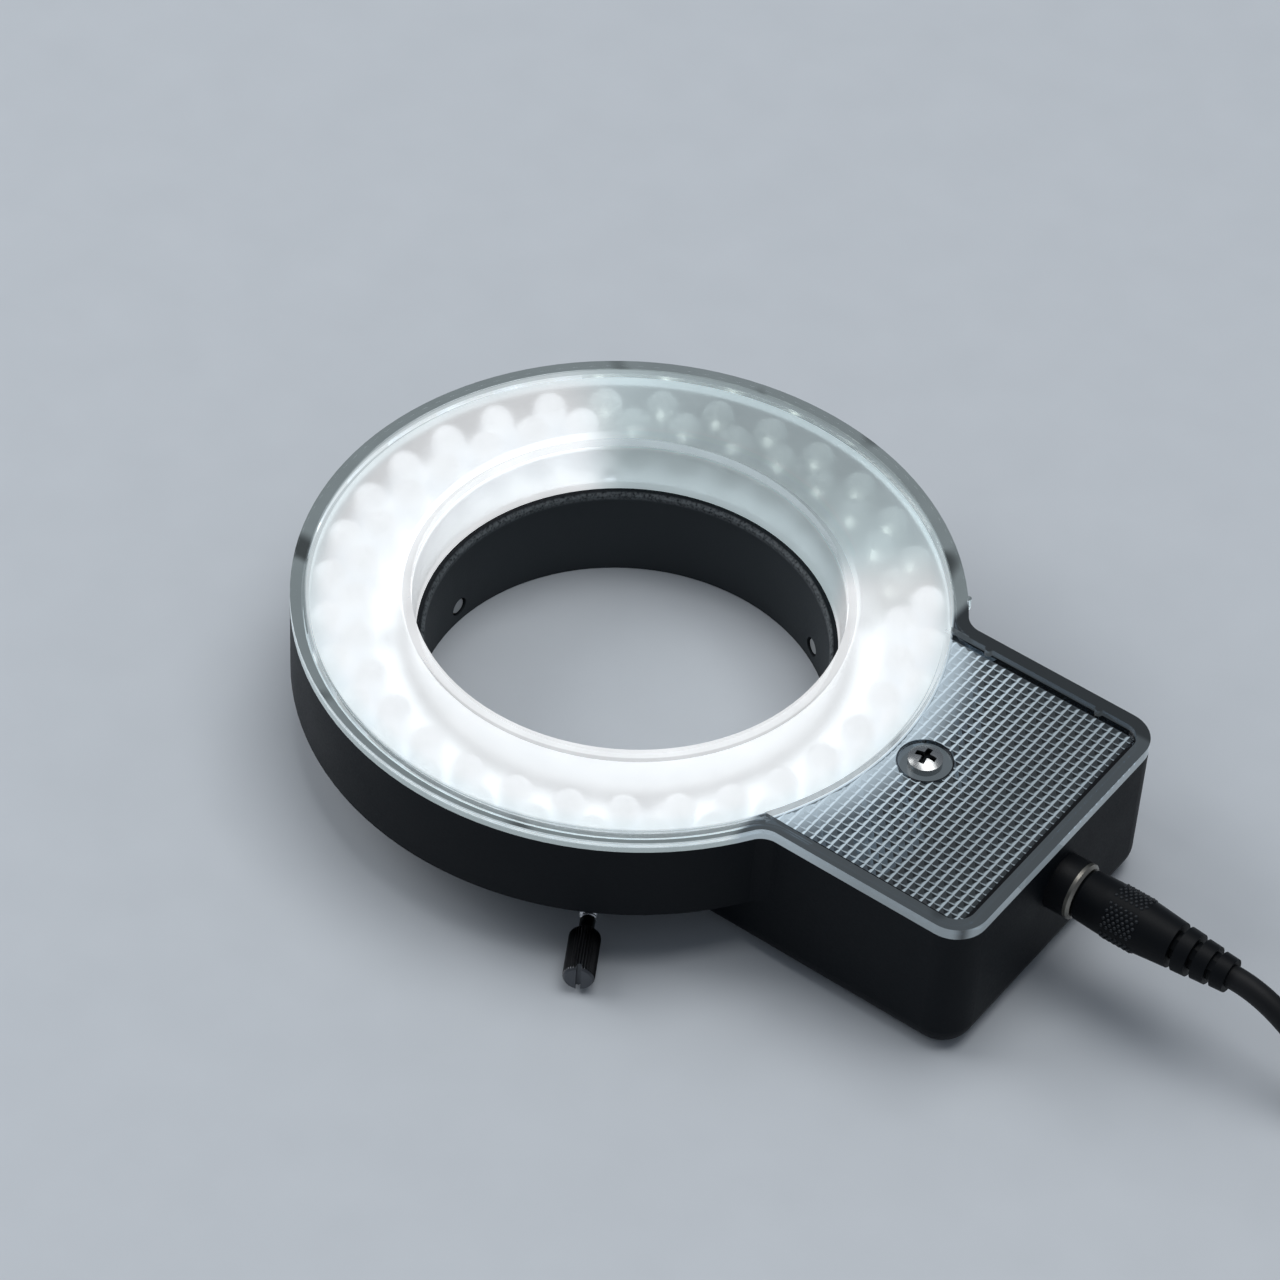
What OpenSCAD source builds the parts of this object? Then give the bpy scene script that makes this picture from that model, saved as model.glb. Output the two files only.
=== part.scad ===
// Ring light for a microscope: a black moulded ring with a control box on one side, two rows of
// LEDs under a clear cover, a clamping collar with three thumbscrews, and a plug-in power lead.
// It lies with its LEDs upward. The origin is on the axis of the bore, in the plane of the
// collar's free face, and +X runs from the ring to the end of the control box.

/* [Ring] */
// Diameter of the bore that goes over the objective
bore_d = 61; // [56:0.5:63]
// Width of the ring, from the bore to the outside
ring_band = 18.2; // [17:0.1:22]
// Thickness of the clamping collar's wall
collar_wall = 5.5; // [4.5:0.1:8]
// Height of the collar, from its free face to the ring
collar_h = 10.8; // [9.4:0.2:14]
// Height of the ring's outer wall
ring_h = 13; // [13:0.2:16]
// Height of the bore's wall above the underside of the ring
lip_h = 5.8; // [4:0.2:7]
// Thickness of the bore's wall inside the ring
lip_wall = 2; // [1.7:0.1:2.2]
// How far the stop at the top of the bore stands in
stop_in = 1.1; // [0.8:0.1:1.6]
// Thickness of the stop
stop_t = 1.3; // [1:0.1:2]
// Size of the chamfer round the stop's upper edge
lip_chamfer = 0.5; // [0.3:0.1:0.8]
// Thickness of the outer walls
wall = 1.6; // [1.2:0.1:2]
// Thickness of the floors
floor_t = 1.8; // [1.2:0.1:2.4]

/* [Control box] */
// Width of the box
box_w = 50; // [47:0.5:60]
// Length of the box beyond the ring
box_reach = 26.3; // [25.5:0.1:40]
// Radius of the box's upright corners
box_corner = 5; // [4.5:0.5:8]
// Height of the round along the box's lower edges
box_edge = 4; // [2:0.5:4.5]
// Radius of the blend between ring and box
neck_r = 3.5; // [2:0.5:6]

/* [Clear cover] */
// Thickness of the cover's rim
rim_t = 1.9; // [1.4:0.1:2.6]
// Width of the flat rim round the window and the prisms
rim_w = 2; // [1.4:0.1:2.4]
// Height of the window above the rim
window_rise = 0.25; // [0.1:0.05:0.5]
// Depth of the prisms' panel below the rim
panel_drop = 1.05; // [0.7:0.05:1.3]
// Depth of the locating lip inside the wall
cover_lip_h = 1.6; // [1:0.1:1.8]
// Thickness of the locating lip
cover_lip_t = 0.85; // [0.6:0.05:1]
// Slope of the window's inner wall, as its narrowing from top to bottom
cone_in = 0.85; // [0.6:0.05:2]
// Thickness of the window's inner wall
cone_wall = 1.3; // [1:0.1:1.7]
// Distance between the prisms
prism_pitch = 1.4; // [1.2:0.05:2.4]
// Depth of the prisms
prism_h = 0.5; // [0.3:0.05:0.7]
// Width of the plain margin between the rim and the prisms
prism_margin = 1; // [0.8:0.1:2]
// Diameter of the recess for the cover's screw
recess_d = 7.8; // [6.6:0.1:8.4]

/* [Lamps] */
// Lamps in each of the two rows
led_count = 32; // [24:4:32]
// Diameter of one lamp
led_d = 5; // [4:0.1:5]
// Height of one lamp above its board
led_h = 8; // [6.5:0.1:8.2]
// Distance between the outer row's centres and the ring's outside
led_in = 5.2; // [5:0.1:6]
// Distance between the two rows
led_rows = 4.1; // [3.6:0.1:4.4]
// Thickness of the lamp board
led_board_t = 1.6; // [1:0.1:1.6]

/* [Thumbscrews] */
// Diameter of the screw's thread
screw_d = 2.8; // [2.4:0.1:3]
// Height of the screws' axes above the collar's free face
screw_z = 2.9; // [2.8:0.1:5]
// Diameter of the knurled head
head_d = 4.6; // [4:0.1:5.4]
// Length of the knurled head
head_l = 8.9; // [6:0.1:14]
// Length of screw between the collar and the head's shoulder at rest
head_out = 9.4; // [9:0.2:14]
// Grooves round the knurled head
head_flutes = 20; // [12:1:24]

/* [Controls] */
// Diameter of the dimmer's knob
knob_d = 10; // [9:0.5:13]
// Length of the dimmer's knob
knob_l = 6.5; // [6:0.5:12]
// Distance from the dimmer's axis to the end of the box
knob_in = 12.5; // [11.5:0.1:13]
// Height of the controls above the collar's free face
control_z = 12; // [11:0.5:13]
// Diameter of the selector's button
button_d = 5.8; // [4.6:0.1:6]
// Travel of the selector's button
button_travel = 1; // [0.5:0.1:1]

/* [Power lead] */
// Diameter of the power socket's collar
socket_d = 8.6; // [8:0.1:9.2]
// How far the socket's collar stands out of the box
socket_out = 4; // [2:0.5:5]
// Diameter of the plug's grip
plug_d = 7.6; // [7:0.1:8.6]
// Diameter of the cord
cord_d = 3.5; // [3:0.1:3.6]

/* [Hidden] */
$fn = 96;
eps = 0.02;

bore_r = bore_d / 2;
ring_r = bore_r + ring_band;
collar_r = bore_r + collar_wall;
box_l = ring_r + box_reach;
ring_top = collar_h + ring_h;
lip_z = collar_h + lip_h;
lip_r = bore_r + lip_wall;
rim_z = ring_top + rim_t;
window_z = rim_z + window_rise;
panel_z = rim_z - panel_drop;
stop_r = bore_r - stop_in;
cone_r = bore_r + 0.1;
window_r = cone_r + cone_in;
fit = 0.25;
snug = 0.05;

// Cover's screw stands clear of the ring's edge, on the box's centre line
boss_x = ring_r + 2.7;
boss_r = 3.5;
recess_floor = panel_z - 0.55;
panel_low = recess_floor - 1.4;
step_r = ring_r - rim_w - 0.4;

// Lamp board and lamps
led_r = led_d / 2;
pad_h = 0.8;
board_z = collar_h + floor_t + pad_h;
board_top = board_z + led_board_t;
row_out = ring_r - led_in;
row_in = row_out - led_rows;
led_step = 360 / led_count;
led_turn = 1.8;
board_fix_r = lip_r + 2.3;
board_screw_r = 1.5;
board_screw_l = 3;

// Thumbscrews at 120 degrees, one of them opposite the box
screw_a = [180, 60, -60];
head_at = collar_r + head_out;
pad_at = bore_r + 0.3;
pad_l = 1.4;
thread_at = pad_at + pad_l + snug;
insert_r = screw_d / 2 + 0.6;
insert_at = bore_r + 0.7;

// Inside of the control box
in_x = collar_r + wall;
in_w = box_w - 2 * wall;
far_in = in_w / 2;
cavity_z = floor_t;
driver_z = cavity_z + 3.2;
driver_t = 1.6;
driver_top = driver_z + driver_t;
driver_x = boss_x + boss_r + 1.1;
driver_end = box_l - wall - 0.9;
control_y = far_in - 8.4;
control_t = 1.2;
control_margin = 4.5;
control_rise = 6.5;
driver_y = [3.4 - far_in, control_y - control_t - 1.3];
driver_w = driver_y[1] - driver_y[0];
driver_screw_l = 3.4;
chip_w = 4.4;
chip_l = [5.2, 6.4];
chip_h = 1.6;
cap_r = [3.1, 2.5];
cap_h = [9, 4.2];
cap_y = [driver_y[0] + cap_r[0] + 5.1, driver_y[0] + 2 * cap_r[0] + cap_r[1] + 6.9];
choke_r = 3.4;
choke_in = choke_r + 1;
socket_z = ring_top - 7.5;
socket_l = 13;
knob_x = box_l - knob_in;
knob_gap = 0.5;
shaft_in = knob_l - 2.4;
button_x = ring_r + 1.3;
posts = [[driver_x + 2.6, driver_y[0] + 2.6], [driver_end - 2.6, driver_y[0] + 2.6],
    [driver_end - 2.6, driver_y[1] - 2.6]];

// Plug and cord
plug_at = box_l + socket_out;
grip_l = 15.2;
relief_l = 8.8;
rib_r = plug_d / 2 - 0.4;
rib_gap = 0.9;
web_w = 1.5;
cord_at = plug_at + grip_l + relief_l;
cord_r = cord_d / 2;
// Route of the lead from the plug down to the table and on to the coil
cord_low = 2.8;
lead_fall = [[0, 1], [0.8, 1], [2.2, 0.992], [4, 0.966], [6, 0.917], [8.3, 0.834], [11, 0.706], [14, 0.538],
    [17, 0.367], [20, 0.211], [23, 0.091], [26, 0.022], [29, 0], [31.5, 0]];
lead_route = [for (q = lead_fall) [cord_at + q[0], 0, cord_low + (socket_z - cord_low) * q[1]]];
coil_out = 29;
coil_c = [cord_at + lead_fall[len(lead_fall) - 1][0] + cord_d, coil_out, cord_low];
coil_loops = 9;
coil_step = 4;
coil_lift = 4;
loop_rings = 24;
adapter_l = 62;
adapter_w = 40;
adapter_h = 26;
adapter_corner = 5;
adapter_edge = 3;
adapter_seam = 0.4;
relief_at = coil_c[0] + 28;
adapter_at = relief_at + 12;
// Route of the lead from the coil to the adapter
tail_rise = [[cord_d, 0], [5, 0], [8, 0.03], [11, 0.129], [15, 0.355], [19, 0.677], [23, 0.919],
    [26, 1], [28, 1]];
coil_top = cord_low + coil_lift;
tail_route = [for (q = tail_rise) [coil_c[0] + q[0], 0, coil_top + (adapter_h / 2 - coil_top) * q[1]]];

// Points round a tube's section at one place on its route
function unit(v) = v / norm(v);
function heading(p, i) = unit(p[min(i + 1, len(p) - 1)] - p[max(i - 1, 0)]);
function ring_at(p, i, r, n, ref) =
    let (t = heading(p, i), s = unit(cross(ref, t)), u = cross(t, s))
    [for (k = [0 : n - 1]) p[i] + r * (cos(360 * k / n) * s + sin(360 * k / n) * u)];

// A closed tube along a route
module tube(p, r, n, ref) {
    m = len(p);
    points = [for (i = [0 : m - 1]) each ring_at(p, i, r, n, ref)];
    sides = [for (i = [0 : m - 2], k = [0 : n - 1])
        let (a = i * n + k, b = i * n + (k + 1) % n)
        each [[a, b, b + n], [a, b + n, a + n]]];
    ends = [for (k = [1 : n - 2])
        each [[0, k + 1, k], [(m - 1) * n, (m - 1) * n + k, (m - 1) * n + k + 1]]];
    polyhedron([for (q = points) q], [for (f = concat(sides, ends)) [f[2], f[1], f[0]]]);
}

// Coil: spirals in on the table, climbs one layer where it turns back, and spirals out on top
coil_mid = coil_loops / 2;
function coil_radius(t) = coil_out - coil_step * (coil_mid - abs(t - coil_mid));
function coil_climb(t) = coil_lift * min(1, max(0, 2 * (t - coil_mid) + 0.5));
function coil_point(t) =
    coil_c + [coil_radius(t) * sin(360 * t), -coil_radius(t) * cos(360 * t), coil_climb(t)];
coil_turns = [for (i = [0 : coil_loops * loop_rings]) coil_point(i / loop_rings)];
coil_route = concat([coil_turns[0] - [cord_d, 0, 0]], coil_turns,
    [coil_turns[len(coil_turns) - 1] + [cord_d, 0, 0]]);
coil_gap = min([for (i = [0 : len(coil_turns) - 1], j = [i + loop_rings / 2 : len(coil_turns) - 1])
    norm(coil_turns[i] - coil_turns[j])]) - cord_d;
function run(p) = len(p) < 2 ? 0 : [for (i = 1, s = norm(p[1] - p[0]); i < len(p); i = i + 1,
    s = i < len(p) ? s + norm(p[i] - p[i - 1]) : s) s][len(p) - 2];
echo(coil_gap = coil_gap, cord_length = run(lead_route) + run(coil_route) + run(tail_route));

// Rectangle with round corners, drawn with true arcs
module round_rect(x0, x1, y0, y1, r) {
    translate([x0 + r, y0]) square([x1 - x0 - 2 * r, y1 - y0]);
    translate([x0, y0 + r]) square([x1 - x0, y1 - y0 - 2 * r]);
    for (x = [x0 + r, x1 - r], y = [y0 + r, y1 - r]) translate([x, y]) circle(r);
}

// Outline of ring and box seen from above, drawn in from the outside by i
module outline(i) {
    w = box_w / 2 - i;
    r = neck_r + i;
    y = box_w / 2 + neck_r - eps;
    x = sqrt(pow(ring_r + neck_r - eps, 2) - pow(y, 2));
    circle(ring_r - i);
    difference() {
        round_rect(0, box_l - i, -w, w, box_corner - i);
        translate([-1, -box_w]) square([2, 2 * box_w]);
    }
    for (s = [-1, 1]) scale([1, s]) difference() {
        polygon([[x, y], [x * 0.7, y * 0.7], [x + 2, w - 3], [x + 0.4, w + 0.1]]);
        translate([x, y]) circle(r);
    }
}

module upright(z0, z1) {
    translate([0, 0, z0]) linear_extrude(z1 - z0) children();
}

// Bar that takes the round off one straight lower edge of the box, lying along X
module edge_cut(l) {
    rotate([90, 0, 90]) linear_extrude(l) edge_profile();
}

// Section of what the round takes away: inside is at the left, the lower face at the bottom
module edge_profile() {
    difference() {
        translate([-box_edge, -1]) square([box_edge + 1, box_edge + 1]);
        translate([-box_edge - 0.15, box_edge + 0.15]) circle(box_edge + 0.15);
    }
}

module box_rounding() {
    w = box_w / 2;
    c = box_corner;
    for (s = [0, 1]) mirror([0, s, 0]) {
        translate([0, w, 0]) edge_cut(box_l - c);
        translate([box_l - c, w - c, 0])
            rotate_extrude(angle = 90) translate([c, 0]) edge_profile();
    }
    translate([box_l, w - c, 0]) rotate([0, 0, -90]) edge_cut(box_w - 2 * c);
}

// Body of ring, box and collar, moulded in one
module housing_form() {
    upright(collar_h, ring_top) outline(0);
    cylinder(h = collar_h + 1, r = collar_r);
    difference() {
        upright(0, collar_h + 1) difference() {
            round_rect(0, box_l, -box_w / 2, box_w / 2, box_corner);
            translate([-1, -box_w]) square([2 + box_corner, 2 * box_w]);
        }
        box_rounding();
    }
}

module housing_hollow() {
    upright(collar_h + floor_t, ring_top + 1) difference() {
        circle(ring_r - wall);
        circle(lip_r);
    }
    upright(collar_h + floor_t, ring_top + 1) difference() {
        outline(wall);
        translate([-ring_r, -ring_r]) square([ring_r + in_x, 2 * ring_r]);
    }
    upright(cavity_z, collar_h + floor_t + 1)
        round_rect(in_x, box_l - wall, -in_w / 2, in_w / 2, box_corner - wall);
}

module housing_posts() {
    translate([boss_x, 0, 0.5]) cylinder(h = panel_low - 0.5, r = boss_r);
    for (p = posts) translate([p[0], p[1], 0.5]) cylinder(h = driver_z - 0.5, r = 2.4);
    for (a = [0 : 3]) at_board_fix(a) translate([0, 0, collar_h + 0.5])
        cylinder(h = board_z - collar_h - 0.5, r = 2.4);
}

module at_board_fix(a) {
    rotate([0, 0, led_turn + led_step * (0.5 + round((a - 0.5) * led_count / 4 + led_count / 4 - 1)) ])
        translate([board_fix_r, 0, 0]) children();
}

module at_screw(i) {
    rotate([0, 0, screw_a[i]]) translate([0, 0, screw_z]) rotate([0, 90, 0]) children();
}

module housing() {
    color([0.07, 0.08, 0.09]) difference() {
        union() {
            difference() {
                housing_form();
                housing_hollow();
            }
            housing_posts();
        }
        translate([0, 0, -1]) cylinder(h = lip_z - stop_t + 1, r = bore_r);
        translate([0, 0, -1]) cylinder(h = lip_z + 2, r = stop_r);
        translate([0, 0, lip_z - lip_chamfer])
            cylinder(h = 2 * lip_chamfer, r1 = stop_r, r2 = stop_r + 2 * lip_chamfer);
        upright(lip_z, ring_top + 1) circle(lip_r + eps);
        translate([boss_x, 0, panel_low - 11]) cylinder(h = 12, r = 1.25);
        for (p = posts) translate([p[0], p[1], driver_z - 2.8]) cylinder(h = 4, r = 0.9);
        for (a = [0 : 3]) at_board_fix(a) translate([0, 0, board_z - 2]) cylinder(h = 4, r = 0.8);
        for (i = [0 : 2]) at_screw(i) {
            translate([0, 0, bore_r - 4]) cylinder(h = 10, r = screw_d / 2 + 0.15);
            translate([0, 0, insert_at]) cylinder(h = collar_r, r = insert_r + snug);
        }
        along_x(box_l - wall - 1) cylinder(h = wall + 2, r = socket_d / 2 + snug);
        along_y(knob_x, far_in - 1) cylinder(h = wall + 2, r = 3.5 + snug);
        along_y(button_x, far_in - 1) cylinder(h = wall + 2, r = button_d / 2 + fit);
    }
}

// Field of small square pits: where two crossed rows of grooves meet, their ridges stay
module groove_row(n, l) {
    rotate([90, 0, 0]) linear_extrude(2 * l, center = true)
        polygon([for (k = [0 : n]) each [[(k - n / 2) * prism_pitch, -prism_h],
            if (k < n) [(k + 0.5 - n / 2) * prism_pitch, 0]],
            [n / 2 * prism_pitch, 1], [-n / 2 * prism_pitch, 1]]);
}

module prism_area() {
    e = rim_w + prism_margin;
    difference() {
        round_rect(0, box_l - e, -box_w / 2 + e, box_w / 2 - e, 1.2);
        circle(step_r + 0.4);
        translate([boss_x, 0]) circle(recess_d / 2 + 0.2);
    }
}

module prism_field() {
    nx = ceil((box_l - 0.5 * ring_r) / prism_pitch);
    ny = 2 * ceil(box_w / prism_pitch / 2) + 1;
    intersection() {
        upright(-1, 0.5) prism_area();
        translate([box_l - rim_w - prism_margin - nx * prism_pitch / 2, 0, 0]) groove_row(nx, box_w);
        translate([0, 0, -0.12]) rotate([0, 0, 90]) groove_row(ny, box_l);
    }
}

// Box's part of the cover seen from above, drawn in from the outside by i, up to the radius r
module panel_area(i, r) {
    w = box_w / 2 - i;
    difference() {
        round_rect(0, box_l - i, -w, w, box_corner - i);
        circle(r);
    }
}

module clear_cover() {
    color([0.86, 0.91, 0.93, 0.6]) difference() {
        union() {
            difference() {
                union() {
                    upright(ring_top, rim_z) outline(0);
                    upright(ring_top, window_z) outline(rim_w);
                }
                upright(panel_z, window_z + 1) panel_area(rim_w, step_r);
            }
            upright(panel_low, ring_top + 0.4) panel_area(wall + fit, step_r - 0.8);
            for (x = [box_l - 9.6, box_l - 28.3]) translate([x, box_w / 2 - rim_w, ring_top])
                cylinder(h = rim_t, r = 0.6);
            rotate([0, 0, 37.3]) translate([ring_r, 0, ring_top]) cylinder(h = rim_t, r = 0.5);
            upright(ring_top - cover_lip_h, ring_top + 0.4) difference() {
                outline(wall + fit);
                outline(wall + fit + cover_lip_t);
            }
            rotate_extrude() polygon([[cone_r, lip_z], [cone_r + cone_wall, lip_z],
                [window_r + cone_wall, ring_top + 0.5], [window_r - 1, ring_top + 0.5]]);
        }
        rotate_extrude() polygon([[0, lip_z - 1], [cone_r - cone_in / (window_z - lip_z), lip_z - 1],
            [window_r + cone_in / (window_z - lip_z), window_z + 1], [0, window_z + 1]]);
        translate([boss_x, 0, recess_floor]) cylinder(h = 10, r = recess_d / 2);
        translate([boss_x, 0, panel_low - 1]) cylinder(h = 10, r = 1.6);
        translate([0, 0, panel_z]) prism_field();
    }
}

// Pan head with a cross recess, and a plain shank
module pan_screw(head_r, head_h, shank_r, shank_l) {
    difference() {
        union() {
            rotate_extrude() intersection() {
                translate([0, head_h - 2.2 * head_r]) circle(2.2 * head_r);
                square([head_r, head_h]);
            }
            translate([0, 0, -shank_l]) cylinder(h = shank_l + 0.2, r = shank_r);
        }
        for (a = [0, 90]) rotate([0, 0, a + 8]) translate([-head_r * 0.62, -head_r * 0.17, head_h * 0.3])
            cube([head_r * 1.24, head_r * 0.34, head_h]);
    }
}

module cover_screw() {
    color([0.7, 0.72, 0.72]) translate([boss_x, 0, recess_floor]) pan_screw(2.5, 1.75, 1.2, 9);
}

module lamp_board() {
    color([0.9, 0.92, 0.9]) difference() {
        upright(board_z, board_top) difference() {
            circle(ring_r - wall - 1.1);
            circle(lip_r + 0.7);
        }
        for (a = [0 : 3]) at_board_fix(a) translate([0, 0, board_z - 1]) cylinder(h = 4, r = 1.1);
    }
}

module lamp_board_screws() {
    color([0.75, 0.76, 0.76]) for (a = [0 : 3]) at_board_fix(a) translate([0, 0, board_top])
        pan_screw(board_screw_r, 1.2, 0.75, board_screw_l);
}

// Lamp with a rim at its foot and a round top
module lamp() {
    rotate_extrude($fn = 48) {
        square([led_r + 0.35, 1]);
        square([led_r, led_h - led_r]);
        intersection() {
            translate([0, led_h - led_r]) circle(led_r);
            square([led_r, led_h]);
        }
    }
}

// The lamps that one switched quarter lights, in two staggered rows
module quarter(q) {
    for (k = [0 : led_count / 4 - 1]) rotate([0, 0, led_turn + 90 * q - 45 + k * led_step]) {
        translate([row_in, 0, board_top]) lamp();
        rotate([0, 0, led_step / 2]) translate([row_out, 0, board_top]) lamp();
    }
}

module lamps_box_quarter() { color([1, 1, 0.98]) quarter(0); }
module lamps_far_quarter() { color([0.8, 0.86, 0.86]) quarter(1); }
module lamps_back_quarter() { color([1, 1, 0.98]) quarter(2); }
module lamps_near_quarter() { color([1, 1, 0.98]) quarter(3); }

module collar_inserts() {
    color([0.76, 0.62, 0.3]) for (i = [0 : 2]) at_screw(i) translate([0, 0, insert_at]) difference() {
        cylinder(h = collar_r - insert_at - 0.3, r = insert_r);
        translate([0, 0, -1]) cylinder(h = collar_r, r = screw_d / 2 + snug);
    }
}

// Thumbscrew with a straight-knurled, slotted head; its axis lies along the radius
module thumbscrew(i) {
    color([0.1, 0.1, 0.11]) at_screw(i) difference() {
        union() {
            translate([0, 0, thread_at]) cylinder(h = head_at - 2 - thread_at, r = screw_d / 2);
            translate([0, 0, head_at - 2.1]) cylinder(h = 2.2, r = screw_d / 2 - 0.25);
            intersection() {
                translate([0, 0, head_at]) linear_extrude(head_l) difference() {
                    circle(head_d / 2);
                    for (k = [0 : head_flutes - 1]) rotate(360 * k / head_flutes)
                        translate([head_d / 2 + 0.12, 0]) rotate(180) circle(0.36, $fn = 3);
                }
                rotate_extrude() translate([0, head_at]) polygon([[0, 0], [head_d / 2 - 0.8, 0],
                    [head_d / 2 + 0.1, 0.9], [head_d / 2 + 0.1, head_l - 0.4],
                    [head_d / 2 - 0.3, head_l], [0, head_l]]);
            }
        }
        translate([0, 0, thread_at - 1]) cylinder(h = 3.3, r = 0.65);
        translate([-head_d, -0.35, head_at + head_l - 1]) cube([2 * head_d, 0.7, 2]);
    }
}

module thumbscrew_back() { thumbscrew(0); }
module thumbscrew_far() { thumbscrew(1); }
module thumbscrew_near() { thumbscrew(2); }

// Soft pad in the screw's end, which turns freely in it
module screw_pad(i) {
    color([0.85, 0.84, 0.8]) at_screw(i) {
        translate([0, 0, pad_at]) cylinder(h = pad_l, r = screw_d / 2 - 0.2);
        translate([0, 0, pad_at]) cylinder(h = pad_l + 2, r = 0.6);
    }
}

module screw_pad_back() { screw_pad(0); }
module screw_pad_far() { screw_pad(1); }
module screw_pad_near() { screw_pad(2); }

module driver_board() {
    color([0.1, 0.35, 0.2]) difference() {
        upright(driver_z, driver_top) translate([driver_x, driver_y[0]])
            square([driver_end - driver_x, driver_y[1] - driver_y[0]]);
        for (p = posts) translate([p[0], p[1], driver_z - 1]) cylinder(h = 4, r = 1.2);
    }
}

module driver_board_screws() {
    color([0.75, 0.76, 0.76]) for (p = posts) translate([p[0], p[1], driver_top])
        pan_screw(1.9, 1.3, 0.85, driver_screw_l);
}

module capacitors() {
    color([0.2, 0.22, 0.3]) for (i = [0, 1])
        translate([driver_end - cap_r[0] - 1.1, cap_y[i], driver_top])
            cylinder(h = cap_h[i], r = cap_r[i]);
}

module chips() {
    color([0.12, 0.12, 0.13]) for (i = [0, 1])
        translate([driver_x + 2, driver_y[0] + driver_w * (1 + i) / 4, driver_top])
            cube([chip_w, chip_l[i], chip_h]);
}

module choke() {
    color([0.25, 0.24, 0.23]) translate([driver_x + choke_in, driver_y[1] - choke_in, driver_top])
    difference() {
        cylinder(h = 4, r = choke_r);
        translate([0, 0, 2.6]) cylinder(h = 4, r = choke_r / 2);
    }
}

// Upright board that carries the dimmer and the selector, standing on the box's floor
module control_board() {
    color([0.1, 0.35, 0.2]) translate([button_x - control_margin, control_y - control_t, cavity_z])
        cube([knob_x - button_x + control_margin + control_rise, control_t,
            control_z + control_rise - cavity_z]);
}

module along_y(x, y) {
    translate([x, y, control_z]) rotate([-90, 0, 0]) children();
}

module dimmer_case() {
    color([0.3, 0.42, 0.5]) along_y(knob_x, control_y) difference() {
        union() {
            translate([-5, -5, 0]) cube([10, 10, far_in - control_y - 0.1]);
            cylinder(h = far_in - control_y + wall + 0.2, r = 3.5);
        }
        translate([0, 0, 1.2]) cylinder(h = 30, r = 2 + snug);
    }
}

module dimmer_shaft() {
    color([0.75, 0.75, 0.73]) along_y(knob_x, control_y) translate([0, 0, 1.3])
        cylinder(h = far_in - control_y + wall + knob_gap + shaft_in - 1.3, r = 2);
}

// Fluted knob with a pointer line, hidden behind the box
module dimmer_knob() {
    color([0.08, 0.09, 0.1]) along_y(knob_x, far_in + wall + knob_gap) difference() {
        intersection() {
            linear_extrude(knob_l) difference() {
                circle(knob_d / 2);
                for (k = [0 : 14]) rotate(24 * k) translate([knob_d / 2 + 0.5, 0]) circle(0.9);
            }
            rotate_extrude() polygon([[0, 0], [knob_d / 2 + 0.2, 0], [knob_d / 2 + 0.2, knob_l - 1],
                [knob_d / 2 - 0.8, knob_l], [0, knob_l]]);
        }
        translate([0, 0, -1]) cylinder(h = shaft_in + 1.1, r = 2 + snug);
        translate([-0.4, -knob_d / 2 - 1, knob_l - 0.5]) cube([0.8, knob_d / 2, 2]);
    }
}

module selector_switch() {
    color([0.15, 0.15, 0.16]) along_y(button_x, control_y) {
        translate([-3, -3, 0]) cube([6, 6, 3.6]);
        cylinder(h = far_in - control_y - button_travel - 2.1, r = 1.7);
    }
}

// Push button that switches the quarters of the ring in turn
module selector_button() {
    color([0.16, 0.17, 0.18]) along_y(button_x, far_in - 1.8) {
        cylinder(h = wall + 3.4, r = button_d / 2);
        cylinder(h = 1.2, r = button_d / 2 + 0.9);
    }
}

module along_x(x) {
    translate([x, 0, socket_z]) rotate([0, 90, 0]) children();
}

// Power socket: a case behind the end wall with a collar that stands out through it
module socket_case() {
    color([0.06, 0.06, 0.07]) difference() {
        union() {
            translate([box_l - wall - socket_l, -4.5, socket_z - 5.2]) cube([socket_l, 9, 10]);
            along_x(box_l - wall - 1) cylinder(h = wall + 1 + socket_out - 0.9, r = socket_d / 2);
            for (x = [2, 9]) translate([box_l - wall - socket_l + x, -0.8, driver_top])
                cube([0.8, 1.6, socket_z - 5 - driver_top]);
        }
        along_x(box_l - wall - 10) cylinder(h = 30, r = 2.9);
    }
}

module socket_ring() {
    color([0.75, 0.76, 0.75]) along_x(plug_at - 0.9) rotate_extrude() polygon([[2.9, 0], [socket_d / 2, 0],
        [socket_d / 2, 0.5], [socket_d / 2 - 0.4, 0.9], [2.9, 0.9]]);
}

module socket_pin() {
    color([0.78, 0.78, 0.76]) along_x(box_l - wall - 10) cylinder(h = 8.5, r = 1);
}

// Moulded grip of the plug; the ribs of its strain relief are joined by a web on two sides
module plug_grip() {
    color([0.05, 0.06, 0.07]) along_x(plug_at) difference() {
        union() {
            rotate_extrude() polygon([[0, 0], [plug_d / 2 - 0.3, 0], [plug_d / 2, 0.4], [plug_d / 2 + 0.2, 4],
                [plug_d / 2 + 0.2, 9.4], [plug_d / 2 - 0.35, grip_l], [0, grip_l]]);
            translate([0, 0, grip_l - 0.5]) cylinder(h = relief_l + 0.3, r = cord_r + 0.35);
            for (k = [0 : 2]) translate([0, 0, grip_l + rib_gap + relief_l * k / 3])
                rotate_extrude() polygon([[0, 0], [rib_r - 0.35 * k, 0],
                    [rib_r - 0.15 - 0.35 * k, relief_l / 3 - rib_gap], [0, relief_l / 3 - rib_gap]]);
            rotate([0, 0, 40]) translate([1 - rib_r, -web_w / 2, grip_l - 0.1])
                cube([2 * rib_r - 2, web_w, relief_l - 0.4]);
        }
        translate([0, 0, -1]) cylinder(h = 5, r = 2.72);
    }
}

module plug_sleeve() {
    color([0.78, 0.79, 0.78]) along_x(plug_at - 9.5) difference() {
        cylinder(h = 13.5, r = 2.7);
        translate([0, 0, -1]) cylinder(h = 11, r = 1.05);
    }
}

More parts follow.
